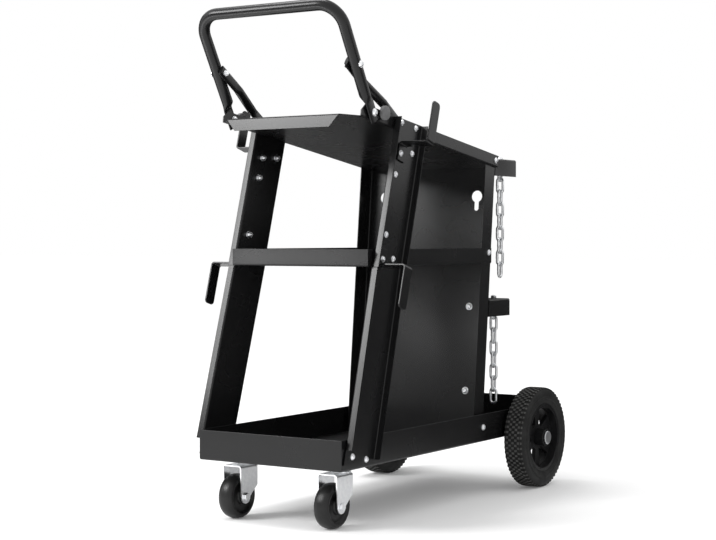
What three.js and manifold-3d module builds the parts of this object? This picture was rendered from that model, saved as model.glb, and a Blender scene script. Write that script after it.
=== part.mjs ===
// Three-tier welding cart in folded sheet steel: a bottom tray on two swivel casters and two large
// wheels, a leaning rear panel, a middle shelf, a sloping top tray with a push handle, cable hooks,
// and two gas-bottle brackets that each carry a short chain.
// Millimetres, +Z up. The handle end faces -Y and the gas-bottle end faces +Y.

import * as THREE from 'three';
import { mergeVertices } from 'three/addons/utils/BufferGeometryUtils.js';
import Module from 'manifold-3d';

const wasm = await Module();
wasm.setup();

// Driving dimensions of the sheet body
const bodyWidth = 286;
const sheet = 1.6;
const fold = 3.6;
const gap = 0.3;
const trayLength = 702;
const traySpread = 5.4;
const trayWall = 52.5;
const trayRearWall = 70;
const panelFoot = 500;
const panelLean = 5.5;
const panelTop = 649;
const panelFlange = 40;
const keyholeRadius = 11.5;
const keyholeSlot = 9.6;
const keyholeDepth = 23;
const keyholeInset = 37;
const keyholeDrop = 79;
const shelfFront = 89;
const shelfFloor = 441;
const shelfWall = 30;
const topFront = 39;
const topFloor = 697;
const topTilt = 8;
const topRail = 23;
const topLip = 20.6;
const topCorner = 29;
const cornerSlope = 0.85;

// Driving dimensions of the posts, hooks and handle
const postStart = -1.2;
const postLean = 16.2;
const postDepth = 95;
const postFlange = 12;
const postFootRise = 11;
const postFlangeStart = 38;
const hookWidth = 24;
const hookThickness = 3;
const hookBend = 2.5;
const hookCorner = 7;
const hookReach = 58;
const hookLeg = 76;
const hookTab = 30;
const upperHookDrop = 45;
const upperHookInset = 35;
const lowerHookRise = 3;
const lowerHookInset = 22.3;
const handleLean = 29.7;
const handleFootY = 101.5;
const handleFootZ = 688;
const handleLength = 215;
const handleRadius = 10;
const handleBend = 40;
const handleInset = 4.3;
const handleFlat = 34;
const footHalf = 3.2;
const braceRadius = 8;
const braceFootY = 187;
const braceFootZ = 693;
const braceReach = 104.8;
const braceEnd = 10;
const braceFlat = 48;
const tubeTaper = 16;
const flatSpread = 1.2;

// Driving dimensions of the gas-bottle brackets and chains
const bracketDepth = 84;
const bracketLip = 33;
const upperBracketTop = 643;
const lowerBracketTop = 372;
const bottleRadius = 78;
const bottleClear = 12;
const chainEdge = 31;
const chainInset = 12;
const chainWire = 5;
const chainInnerLength = 24;
const chainInnerWidth = 7.4;
const eyeRadius = 6;
const shankRadius = 3;
const upperLinks = 9;
const lowerLinks = 8;

// Driving dimensions of the wheels and casters
const wheelWidth = 45;
const wheelRoom = 4.1;
const treadGroove = 2.5;
const tyreShoulder = 12;
const tyreRound = 4;
const rimRadius = 67;
const rimThickness = 7;
const hubWindow = 25;
const bossRadius = 17;
const webThickness = 8;
const hubClear = 2;
const spokes = 6;
const wheelSides = 36;
const axleRadius = 5;
const axleInset = 47;
const axleClear = 0.5;
const capRadius = 13;
const capThickness = 4;
const capClear = 2;
const lugHalf = 28;
const lugRise = 36;
const lugSheet = 2.5;
const casterRadius = 39;
const casterRise = 25.5;
const casterWidth = 30;
const casterInset = 43;
const casterPivotY = 69;
const casterTrail = 25;
const casterPlate = 50;
const plateSheet = 2.5;
const casterHub = 13;
const casterDish = 2;
const casterRubber = 9;
const casterRound = 3;
const forkSheet = 2.5;
const forkClear = 2.5;
const forkEnd = 12.5;
const forkBack = 9;
const raceRadius = 17;
const raceDepth = 5;
const crownRise = 1.5;
const crownEdge = 2;
const pinRadius = 4;

// The casters carry the tray, and the rear wheels reach the same floor from an axle just under it.
const half = bodyWidth / 2;
const trayHalf = half + traySpread;
const trayFloor = 2 * casterRadius + casterRise;
const axleY = trayLength - axleInset;
const axleZ = trayFloor - axleRadius - axleClear;
const wheelRadius = axleZ;
const wheelTrack = 2 * (trayHalf + wheelRoom) + wheelWidth;
const casterTrack = bodyWidth - 2 * casterInset;
const chainSide = half - chainEdge;
const topHalf = half + sheet + 3 * gap;
const panelHalf = half - sheet - gap;
const lean = THREE.MathUtils.degToRad(panelLean);
const tilt = THREE.MathUtils.degToRad(topTilt);
const postAngle = THREE.MathUtils.degToRad(postLean);
const handleAngle = THREE.MathUtils.degToRad(handleLean);
const cutter = 2 * trayLength;

function finish(name, color, roughness, metalness = 0) {
  return new THREE.MeshStandardMaterial({ name, color, roughness, metalness });
}

const coat = finish('black_powder_coat', 0x1a1a1b, 0.45);
const zinc = finish('zinc_steel', 0xb9bcc0, 0.35, 1);
const rubber = finish('black_rubber', 0x141414, 0.8);
const plastic = finish('black_plastic', 0x1c1c1d, 0.55);

const group = new THREE.Group();
group.name = 'welding_cart';

function solid(geometry) {
  const plain = geometry.clone();
  plain.deleteAttribute('normal');
  plain.deleteAttribute('uv');
  const welded = mergeVertices(plain, 1e-4);
  const mesh = new wasm.Mesh({
    numProp: 3,
    vertProperties: Float32Array.from(welded.attributes.position.array),
    triVerts: Uint32Array.from(welded.index.array),
  });
  mesh.merge();
  return new wasm.Manifold(mesh);
}

function geometryOf(body) {
  const mesh = body.getMesh();
  const geometry = new THREE.BufferGeometry();
  geometry.setAttribute('position', new THREE.BufferAttribute(Float32Array.from(mesh.vertProperties), 3));
  geometry.setIndex(new THREE.BufferAttribute(Uint32Array.from(mesh.triVerts), 1));
  return geometry;
}

function union(...geometries) {
  return geometries.map(solid).reduce((whole, piece) => whole.add(piece));
}

function keep(name, material, body) {
  const geometry = body instanceof wasm.Manifold ? geometryOf(body) : body;
  geometry.computeVertexNormals();
  const mesh = new THREE.Mesh(geometry, material);
  mesh.name = name;
  group.add(mesh);
}

function box(x0, x1, y0, y1, z0, z1) {
  const geometry = new THREE.BoxGeometry(x1 - x0, y1 - y0, z1 - z0);
  return geometry.translate((x0 + x1) / 2, (y0 + y1) / 2, (z0 + z1) / 2);
}

function shapeOf(points) {
  return new THREE.Shape(points.map(([u, v]) => new THREE.Vector2(u, v)));
}

// A channel's cross-section: a base along u and a wall at each end, folded with real radii
function channelShape(halfBase, depth, thickness = sheet, radius = fold) {
  const corner = halfBase - radius;
  const inside = radius - thickness;
  const shape = new THREE.Shape();
  shape.moveTo(-halfBase, depth);
  shape.lineTo(-halfBase, radius);
  shape.absarc(-corner, radius, radius, Math.PI, 1.5 * Math.PI, false);
  shape.absarc(corner, radius, radius, 1.5 * Math.PI, 2 * Math.PI, false);
  shape.lineTo(halfBase, depth);
  shape.lineTo(halfBase - thickness, depth);
  shape.absarc(corner, radius, inside, 2 * Math.PI, 1.5 * Math.PI, true);
  shape.absarc(-corner, radius, inside, 1.5 * Math.PI, Math.PI, true);
  shape.lineTo(-halfBase + thickness, depth);
  return shape;
}

// A rectangle whose two lower corners are rounded
function roundedBase(u0, u1, v0, v1, radius) {
  const shape = new THREE.Shape();
  shape.moveTo(u0, v1);
  shape.lineTo(u0, v0 + radius);
  shape.absarc(u0 + radius, v0 + radius, radius, Math.PI, 1.5 * Math.PI, false);
  shape.absarc(u1 - radius, v0 + radius, radius, 1.5 * Math.PI, 2 * Math.PI, false);
  shape.lineTo(u1, v1);
  return shape;
}

// Extrudes an outline drawn in plan (x, y), in side view (y, z) or in front view (x, z).
function extrude(shape, depth, segments) {
  return new THREE.ExtrudeGeometry(shape, { depth, bevelEnabled: false, curveSegments: segments });
}

function alongZ(shape, z0, z1, segments = 2) {
  return extrude(shape, z1 - z0, segments).translate(0, 0, z0);
}

function alongX(shape, x0, x1, segments = 2) {
  const turn = new THREE.Matrix4().makeBasis(
    new THREE.Vector3(0, 1, 0),
    new THREE.Vector3(0, 0, 1),
    new THREE.Vector3(1, 0, 0),
  );
  return extrude(shape, x1 - x0, segments).applyMatrix4(turn).translate(x0, 0, 0);
}

function alongY(shape, y0, y1, segments = 2) {
  return extrude(shape, y1 - y0, segments).rotateX(Math.PI / 2).translate(0, y1, 0);
}

// A block with rounded lower edges: what a front outline and a side outline have in common
function basin(halfWidth, y0, y1, z0, z1, radius) {
  const front = alongY(roundedBase(-halfWidth, halfWidth, z0, z1, radius), y0, y1);
  const side = alongX(roundedBase(y0, y1, z0, z1, radius), -halfWidth, halfWidth);
  return solid(front).intersect(solid(side));
}

function mirrored(body, side) {
  return side > 0 ? body : body.mirror([1, 0, 0]);
}

function rodX(radius, x0, x1, y, z, sides = 24) {
  const geometry = new THREE.CylinderGeometry(radius, radius, x1 - x0, sides);
  return geometry.rotateZ(-Math.PI / 2).translate((x0 + x1) / 2, y, z);
}

function rodZ(radius, z0, z1, x, y, sides = 24) {
  const geometry = new THREE.CylinderGeometry(radius, radius, z1 - z0, sides);
  return geometry.rotateX(Math.PI / 2).translate(x, y, (z0 + z1) / 2);
}

// Sweeps an ellipse through stations; each gives a centre, two axes and the ellipse's half sizes.
function loft(stations, sides, closed = false) {
  const positions = [];
  const index = [];
  for (const { centre, across, along, halfAcross, halfAlong } of stations) {
    for (let k = 0; k < sides; k += 1) {
      const angle = (2 * Math.PI * k) / sides;
      const point = centre.clone();
      point.addScaledVector(across, halfAcross * Math.cos(angle));
      point.addScaledVector(along, halfAlong * Math.sin(angle));
      positions.push(point.x, point.y, point.z);
    }
  }
  const rings = closed ? stations.length : stations.length - 1;
  for (let ring = 0; ring < rings; ring += 1) {
    const here = ring * sides;
    const next = ((ring + 1) % stations.length) * sides;
    for (let k = 0; k < sides; k += 1) {
      const turn = (k + 1) % sides;
      index.push(here + k, here + turn, next + turn, here + k, next + turn, next + k);
    }
  }
  if (!closed) {
    const last = (stations.length - 1) * sides;
    for (let k = 1; k < sides - 1; k += 1) {
      index.push(0, k + 1, k, last, last + k, last + k + 1);
    }
  }
  const geometry = new THREE.BufferGeometry();
  geometry.setAttribute('position', new THREE.BufferAttribute(new Float32Array(positions), 3));
  geometry.setIndex(index);
  return geometry;
}

function onSide(side, near, far) {
  return side > 0 ? [near, far] : [-far, -near];
}

const sides = [['left', -1], ['right', 1]];

// Bottom tray: one folded pan, wider than the body above, with a higher wall behind the gas bottle
{
  const rim = trayFloor + trayRearWall;
  const inner = trayHalf - sheet;
  const outside = basin(trayHalf, 0, trayLength, trayFloor, rim, fold);
  const inside = basin(inner, sheet, trayLength - sheet, trayFloor + sheet, rim + sheet, fold - sheet);
  const lowered = box(-cutter, cutter, -sheet, trayLength - sheet, trayFloor + trayWall, cutter);
  keep('bottom_tray', coat, outside.subtract(inside).subtract(solid(lowered)));
}

// Rear panel: its rear face leans back from panelFoot at the tray floor, and both edges fold forward.
const panelBase = trayFloor + sheet + gap;
const panelLength = (panelTop - panelBase) / Math.cos(lean);

function panelRear(z) {
  return panelFoot + (z - panelBase) * Math.tan(lean);
}

function panelFace(z) {
  return panelRear(z) - sheet / Math.cos(lean);
}

function inPanel(geometry) {
  return geometry.rotateX(-lean).translate(0, panelFoot, panelBase);
}

function panelSlots() {
  const reach = panelFlange + gap;
  return sides.map(([, side]) => {
    const [x0, x1] = onSide(side, panelHalf - fold - gap, panelHalf + gap);
    return solid(inPanel(box(x0, x1, -reach, 0, -panelFlange, panelLength + panelFlange)));
  });
}

function keyhole(x, z) {
  const slotHalf = keyholeSlot / 2;
  const join = Math.asin(slotHalf / keyholeRadius);
  const shape = new THREE.Shape();
  shape.absarc(x, z, keyholeRadius, join - Math.PI / 2, 1.5 * Math.PI - join, false);
  shape.absarc(x, z - keyholeDepth, slotHalf, Math.PI, 2 * Math.PI, false);
  return alongY(shape, -fold, fold, 9);
}

{
  const channel = alongZ(channelShape(panelHalf, panelFlange), 0, panelLength).rotateZ(Math.PI);
  const corners = roundedBase(-panelHalf, panelHalf, 0, panelLength, fold);
  let panel = solid(channel).intersect(solid(alongY(corners, -cutter, cutter)));
  for (const [, side] of sides) {
    panel = panel.subtract(solid(keyhole(side * (panelHalf - keyholeInset), panelLength - keyholeDrop)));
  }
  keep('rear_panel', coat, inPanel(geometryOf(panel)));
}

// Middle shelf: level pan, open at the rear, slotted for the panel's folded edges
{
  const rear = panelFace(shelfFloor) - gap;
  const rim = shelfFloor + shelfWall;
  const open = rear + 2 * fold;
  const outside = basin(half, shelfFront, open, shelfFloor, rim, fold);
  const inner = half - sheet;
  const inside = basin(inner, shelfFront + sheet, 2 * open, shelfFloor + sheet, rim + sheet, fold - sheet);
  const behind = box(-cutter, cutter, rear, cutter, 0, cutter);
  let shelf = outside.subtract(inside).subtract(solid(behind));
  for (const slot of panelSlots()) {
    shelf = shelf.subtract(slot);
  }
  keep('middle_shelf', coat, shelf);
}

// Top tray: channel tilted down to the rear, with cut front corners and a downturned front lip
function inTop(geometry) {
  return geometry.rotateX(-tilt).translate(0, topFront, topFloor);
}

function topReach(rise) {
  const level = topFloor + rise * Math.cos(tilt);
  const ahead = topFront + rise * Math.sin(tilt);
  return (panelFace(level) - gap - ahead) / (Math.cos(tilt) + Math.tan(lean) * Math.sin(tilt));
}

function railTop(y) {
  return topFloor + topRail / Math.cos(tilt) - (y - topFront) * Math.tan(tilt);
}

{
  const reach = Math.min(topReach(0), topReach(fold));
  const railEnd = reach + fold;
  const frontHalf = topHalf - topCorner;
  const cornerEnd = topCorner * cornerSlope;
  const plan = shapeOf([
    [-frontHalf, fold],
    [frontHalf, fold],
    [topHalf, cornerEnd],
    [topHalf, railEnd],
    [-topHalf, railEnd],
    [-topHalf, cornerEnd],
  ]);
  const silhouette = shapeOf([
    [0, 0],
    [railEnd, 0],
    [railEnd, topRail],
    [cornerEnd + topRail / 2, topRail],
    [cornerEnd, topRail / 2],
    [cornerEnd, sheet],
    [0, sheet],
  ]);
  const slope = topLip * cornerSlope;
  const lipFace = shapeOf([
    [-frontHalf, sheet],
    [-frontHalf, 0],
    [-frontHalf + slope, -topLip],
    [frontHalf - slope, -topLip],
    [frontHalf, 0],
    [frontHalf, sheet],
  ]);
  const lipBend = new THREE.Shape();
  lipBend.moveTo(0, -topLip);
  lipBend.lineTo(sheet, -topLip);
  lipBend.absarc(fold, sheet - fold, fold - sheet, Math.PI, Math.PI / 2, true);
  lipBend.lineTo(3 * fold, 0);
  lipBend.lineTo(3 * fold, sheet);
  lipBend.absarc(fold, sheet - fold, fold, Math.PI / 2, Math.PI, false);
  const lip = solid(alongX(lipBend, -frontHalf, frontHalf)).intersect(solid(alongY(lipFace, 0, 3 * fold)));
  const floorEnd = box(-topHalf + sheet, topHalf - sheet, reach, cutter, -fold, 2 * fold);
  const body = solid(alongY(channelShape(topHalf, topRail), 0, railEnd))
    .intersect(solid(alongZ(plan, 0, topRail)))
    .intersect(solid(alongX(silhouette, -topHalf, topHalf)))
    .subtract(solid(floorEnd))
    .add(lip);
  let tray = solid(inTop(geometryOf(body)));
  for (const slot of panelSlots()) {
    tray = tray.subtract(slot);
  }
  keep('top_tray', coat, tray);
}

// Posts: leaning channels open to the outside. The lower ones splay out to the wider tray, and their webs
// run on past the flanges, as a foot on the tray's wall and as a tongue behind the upper post.
function postFront(z) {
  return postStart + (z - trayFloor) * Math.tan(postAngle);
}

function inPost(geometry) {
  return geometry.rotateX(-postAngle).translate(0, postStart, trayFloor);
}

function leaningChannel(inner) {
  const halfDepth = (postDepth * Math.cos(postAngle)) / 2;
  const length = 2 * panelTop;
  const turn = new THREE.Matrix4().makeBasis(
    new THREE.Vector3(0, 1, 0),
    new THREE.Vector3(1, 0, 0),
    new THREE.Vector3(0, 0, -1),
  );
  const bar = extrude(channelShape(halfDepth, sheet + postFlange), length, 2).applyMatrix4(turn);
  return solid(inPost(bar.translate(inner, halfDepth, panelTop)));
}

{
  const shelfRim = shelfFloor + shelfWall;
  const foot = box(-cutter, cutter, -cutter, cutter, -cutter, trayFloor + postFootRise);
  const tongueTop = box(-cutter, cutter, -cutter, cutter, shelfRim, cutter);
  const flangeTop = box(sheet, cutter, -cutter, cutter, shelfFloor - 2 * gap, cutter);
  const flangeFoot = inPost(box(sheet, cutter, -cutter, cutter, -cutter, postFlangeStart));
  const straight = [foot, flangeFoot, tongueTop, flangeTop].map(solid).reduce(
    (post, away) => post.subtract(away),
    leaningChannel(0),
  );
  const splay = Math.atan2(traySpread, shelfRim - trayFloor - trayWall);
  const lowerPost = straight
    .translate([0, 0, -shelfRim])
    .rotate([0, -THREE.MathUtils.radToDeg(splay), 0])
    .translate([half + gap, 0, shelfRim]);
  const shelfLevel = box(-cutter, cutter, -cutter, cutter, -cutter, shelfFloor);
  const overRail = shapeOf([
    [-trayLength, railTop(-trayLength) - 1],
    [trayLength, railTop(trayLength) - 1],
    [trayLength, cutter],
    [-trayLength, cutter],
  ]);
  const upperPost = [shelfLevel, alongX(overRail, -cutter, cutter)].map(solid).reduce(
    (post, away) => post.subtract(away),
    leaningChannel(topHalf + gap),
  );
  for (const [name, side] of sides) {
    keep(`${name}_lower_post`, coat, mirrored(lowerPost, side));
    keep(`${name}_upper_post`, coat, mirrored(upperPost, side));
  }
}

// Cable hook: flat strip bent twice, with a tab on the post, an arm outward and a leg with a rounded end
function hook() {
  const inner = topHalf + gap + sheet + gap;
  const outer = inner + hookReach;
  const thick = hookThickness;
  const turn = hookBend + thick;
  const strip = new THREE.Shape();
  strip.moveTo(inner, -hookTab);
  strip.lineTo(inner + thick, -hookTab);
  strip.absarc(inner + turn, -hookBend, hookBend, Math.PI, Math.PI / 2, true);
  strip.absarc(outer - turn, turn, turn, 1.5 * Math.PI, 2 * Math.PI, false);
  strip.lineTo(outer, hookLeg);
  strip.lineTo(outer - thick, hookLeg);
  strip.absarc(outer - turn, turn, hookBend, 2 * Math.PI, 1.5 * Math.PI, true);
  strip.absarc(inner + turn, -hookBend, turn, Math.PI / 2, Math.PI, false);
  const wide = hookWidth / 2;
  const outline = roundedBase(-wide, wide, -hookLeg, hookTab, hookCorner);
  const rounded = alongX(outline, -outer, outer).rotateX(Math.PI);
  return solid(alongY(strip, -wide, wide)).intersect(solid(rounded));
}

const upperHookZ = topFloor - upperHookDrop;
const lowerHookZ = shelfFloor + lowerHookRise;
const upperHookY = postFront(upperHookZ) + upperHookInset;
const lowerHookY = postFront(lowerHookZ) + lowerHookInset;
for (const [name, side] of sides) {
  const raised = mirrored(hook(), side).rotate([-postLean, 0, 0]);
  const hanging = mirrored(hook(), side).mirror([0, 0, 1]).rotate([-postLean, 0, 0]);
  keep(`${name}_upper_hook`, coat, raised.translate([0, upperHookY, upperHookZ]));
  keep(`${name}_lower_hook`, coat, hanging.translate([0, lowerHookY, lowerHookZ]));
}

// Handle: one bent tube whose ends are flattened against the rails
const footX = topHalf + gap + footHalf;
const tubeX = footX - handleInset;
const handleUp = new THREE.Vector3(0, -Math.sin(handleAngle), Math.cos(handleAngle));
const handleOut = new THREE.Vector3(0, Math.cos(handleAngle), Math.sin(handleAngle));
const handleFoot = new THREE.Vector3(0, handleFootY, handleFootZ);

function flattened(roundness, radius) {
  const thin = THREE.MathUtils.lerp(footHalf, radius, roundness);
  const wide = THREE.MathUtils.lerp(radius * flatSpread, radius, roundness);
  return [thin, wide];
}

function handlePoint(x, s) {
  return handleFoot.clone().addScaledVector(handleUp, s).setX(x);
}

function legStations(side) {
  const taper = [0, 0.25, 0.5, 0.75, 1].map((part) => handleFlat + part * tubeTaper);
  return [0, ...taper, handleLength - handleBend].map((s) => {
    const roundness = THREE.MathUtils.smoothstep(s, handleFlat, handleFlat + tubeTaper);
    const [halfAcross, halfAlong] = flattened(roundness, handleRadius);
    const centre = handlePoint(side * THREE.MathUtils.lerp(footX, tubeX, roundness), s);
    return { centre, across: new THREE.Vector3(-side, 0, 0), along: handleOut, halfAcross, halfAlong };
  });
}

function bendStations(side) {
  const steps = 6;
  const stations = [];
  for (let k = 1; k <= steps; k += 1) {
    const angle = (k / steps) * (Math.PI / 2);
    const x = side * (tubeX - handleBend + handleBend * Math.cos(angle));
    const s = handleLength - handleBend + handleBend * Math.sin(angle);
    const across = new THREE.Vector3(-side * Math.cos(angle), 0, 0);
    across.addScaledVector(handleUp, -Math.sin(angle));
    stations.push({
      centre: handlePoint(x, s),
      across,
      along: handleOut,
      halfAcross: handleRadius,
      halfAlong: handleRadius,
    });
  }
  return stations;
}

{
  const [left, right] = [-1, 1].map((side) => [...legStations(side), ...bendStations(side)]);
  keep('handle_tube', coat, solid(loft([...left, ...right.reverse()], 14)));
}

// Struts: short tubes with both ends flattened, from the inside of each rail to the inside of each leg
{
  const footInside = topHalf - sheet - gap - footHalf;
  const topInside = tubeX - handleRadius - gap - footHalf;
  const top = handlePoint(0, braceReach);
  const foot = new THREE.Vector3(0, braceFootY, braceFootZ);
  const up = top.clone().sub(foot).normalize();
  const across = new THREE.Vector3(1, 0, 0);
  const along = new THREE.Vector3().crossVectors(up, across);
  const length = top.distanceTo(foot) + 2 * braceEnd;
  const taper = [0, 0.25, 0.5, 0.75, 1].map((part) => braceFlat + part * tubeTaper);
  const places = [0, ...taper, ...taper.map((s) => length - s).reverse(), length];
  const stations = places.map((s) => {
    const fromEnd = Math.min(s, length - s);
    const roundness = THREE.MathUtils.smoothstep(fromEnd, braceFlat, braceFlat + tubeTaper);
    const [halfAcross, halfAlong] = flattened(roundness, braceRadius);
    const rise = THREE.MathUtils.smoothstep(s, braceFlat, length - braceFlat);
    const centre = foot.clone().addScaledVector(up, s - braceEnd);
    centre.setX(THREE.MathUtils.lerp(footInside, topInside, rise));
    return { centre, across, along, halfAcross, halfAlong };
  });
  const strut = solid(loft(stations, 14));
  for (const [name, side] of sides) {
    keep(`${name}_handle_brace`, coat, mirrored(strut, side));
  }
}

// Gas-bottle brackets: level plate with a round bay, side lips, and a lip against the panel
function bracket(name, top) {
  const rear = panelRear(top) + bracketDepth;
  const plate = alongY(channelShape(panelHalf, bracketLip), panelFoot - panelFlange, rear);
  plate.rotateY(Math.PI).translate(0, 0, top);
  const fromBase = (top - panelBase) / Math.cos(lean);
  const back = box(-panelHalf, panelHalf, 0, sheet + gap, fromBase - bracketLip, fromBase - sheet / 2);
  const ahead = inPanel(box(-cutter, cutter, -cutter, gap, -cutter, cutter));
  const bay = rodZ(bottleRadius, top - 2 * bracketLip, top + bracketLip, 0, rear + bottleClear, 56);
  const eyeY = rear - chainInset;
  const eyeHole = rodZ(shankRadius + gap, top - bracketLip, top + bracketLip, chainSide, eyeY, 16);
  let body = union(plate, inPanel(back));
  for (const away of [ahead, bay, eyeHole]) {
    body = body.subtract(solid(away));
  }
  keep(name, coat, body);
  return [eyeY, top - sheet];
}

// Chain link: a closed loop of round wire, standing in the y-z plane or turned to the x-z plane
function link(x, y, z, turned) {
  const round = (chainInnerWidth + chainWire) / 2;
  const straight = (chainInnerLength + chainWire) / 2 - round;
  const steps = 6;
  const stations = [];
  for (const end of [1, -1]) {
    for (let k = 0; k <= steps; k += 1) {
      const angle = (k / steps) * Math.PI + (end > 0 ? 0 : Math.PI);
      const outward = [Math.cos(angle), Math.sin(angle)];
      const centre = [round * outward[0], end * straight + round * outward[1]];
      const flat = (u, v) => (turned ? new THREE.Vector3(u, 0, v) : new THREE.Vector3(0, u, v));
      stations.push({
        centre: flat(...centre).add(new THREE.Vector3(x, y, z)),
        across: flat(...outward),
        along: turned ? new THREE.Vector3(0, 1, 0) : new THREE.Vector3(-1, 0, 0),
        halfAcross: chainWire / 2,
        halfAlong: chainWire / 2,
      });
    }
  }
  return solid(loft(stations, 6, true));
}

function chain(name, count, y, underside) {
  const ringZ = underside - gap - chainWire / 2 - eyeRadius;
  const ring = new THREE.TorusGeometry(eyeRadius, chainWire / 2, 6, 16);
  ring.rotateX(Math.PI / 2).translate(chainSide, y, ringZ);
  const nutLow = underside + sheet + gap;
  const shank = rodZ(shankRadius, ringZ + eyeRadius, nutLow + 2 * shankRadius, chainSide, y, 10);
  const nut = rodZ(2 * shankRadius, nutLow, nutLow + 1.6 * shankRadius, chainSide, y, 6);
  keep(`${name}_chain_eye`, zinc, union(ring, shank, nut));
  const reach = (chainInnerLength + chainWire) / 2;
  const step = 2 * reach - chainWire - gap;
  const first = ringZ - eyeRadius + chainWire + gap - reach;
  for (let k = 0; k < count; k += 1) {
    keep(`${name}_chain_link_${k + 1}`, zinc, link(chainSide, y, first - k * step, k % 2 === 1));
  }
}

chain('upper', upperLinks, ...bracket('upper_tank_bracket', upperBracketTop));
chain('lower', lowerLinks, ...bracket('lower_tank_bracket', lowerBracketTop));

// Rear axle under the tray, held by a lug on each side wall, with a large treaded wheel at each end
const wheelOuter = wheelTrack / 2 + wheelWidth / 2;
const capAt = wheelOuter + capClear;
{
  const rod = rodX(axleRadius, -capAt - 1, capAt + 1, axleY, axleZ, 24);
  const caps = sides.map(([, side]) => {
    const [x0, x1] = onSide(side, capAt, capAt + capThickness);
    return rodX(capRadius, x0, x1, axleY, axleZ, 28);
  });
  keep('rear_axle', zinc, union(rod, ...caps));
}

function revolve(points, segments) {
  const outline = points.map(([radius, offset]) => new THREE.Vector2(radius, offset));
  outline.push(outline[0].clone());
  return new THREE.LatheGeometry(outline, segments).rotateZ(-Math.PI / 2);
}

for (const [name, side] of sides) {
  const [lug0, lug1] = onSide(side, trayHalf + gap, trayHalf + gap + lugSheet);
  const lugShape = new THREE.Shape();
  lugShape.moveTo(axleY - lugHalf, trayFloor + lugRise);
  lugShape.lineTo(axleY - lugHalf, axleZ + capRadius);
  lugShape.absarc(axleY, axleZ, capRadius, Math.PI, 2 * Math.PI, false);
  lugShape.lineTo(axleY + lugHalf, axleZ + capRadius);
  lugShape.lineTo(axleY + lugHalf, trayFloor + lugRise);
  const bore = rodX(axleRadius + gap, -cutter, cutter, axleY, axleZ, 24);
  keep(`${name}_axle_lug`, coat, solid(alongX(lugShape, lug0, lug1, 5)).subtract(solid(bore)));

  const x = (side * wheelTrack) / 2;
  const wide = wheelWidth / 2;
  const bead = wide * 0.85;
  const grooves = [-0.25, 0.25].flatMap((at) => [
    [wheelRadius, wide * (at - 0.06)],
    [wheelRadius - treadGroove, wide * at],
    [wheelRadius, wide * (at + 0.06)],
  ]);
  const tyre = revolve([
    [rimRadius + gap, -bead],
    [wheelRadius - tyreShoulder, -wide],
    [wheelRadius - tyreRound, -wide * 0.88],
    [wheelRadius, -wide * 0.5],
    ...grooves,
    [wheelRadius, wide * 0.5],
    [wheelRadius - tyreRound, wide * 0.88],
    [wheelRadius - tyreShoulder, wide],
    [rimRadius + gap, bead],
  ], wheelSides);
  keep(`${name}_rear_tyre`, rubber, solid(tyre.translate(x, axleY, axleZ)));

  const rimInner = rimRadius - rimThickness;
  const rimSection = [[rimInner, -bead], [rimRadius, -bead], [rimRadius, bead], [rimInner, bead]];
  const rim = revolve(rimSection, wheelSides);
  const hubStart = trayHalf + gap + lugSheet + hubClear;
  const boss = rodX(bossRadius, ...onSide(side, hubStart, capAt - gap), axleY, axleZ, 24);
  const webHalf = webThickness / 2;
  const web = rodX(rimRadius - rimThickness / 2, x - webHalf, x + webHalf, axleY, axleZ, wheelSides);
  let hub = union(rim.translate(x, axleY, axleZ), web, boss);
  for (let k = 0; k < spokes; k += 1) {
    const from = (2 * Math.PI * (k + 0.16)) / spokes;
    const to = (2 * Math.PI * (k + 0.84)) / spokes;
    const window = new THREE.Shape();
    window.absarc(0, 0, rimInner - 2, from, to, false);
    window.absarc(0, 0, hubWindow, to - 0.12, from + 0.12, true);
    const opening = alongZ(window, -wide, wide, 3).rotateY(Math.PI / 2);
    hub = hub.subtract(solid(opening.translate(x, axleY, axleZ)));
  }
  keep(`${name}_rear_hub`, plastic, hub.subtract(solid(bore)));
}

// Casters: plate under the tray, swivelling fork bent from one strip, wheel on a bolt
const plateTop = trayFloor - gap;
const plateLow = plateTop - plateSheet;
const raceLow = plateLow - raceDepth;
const crownTop = raceLow - gap;
const bridgeTop = crownTop - crownRise;
const legInner = casterWidth / 2 + forkClear;
const legOuter = legInner + forkSheet;
const casterAxleY = casterPivotY - casterTrail;

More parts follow.
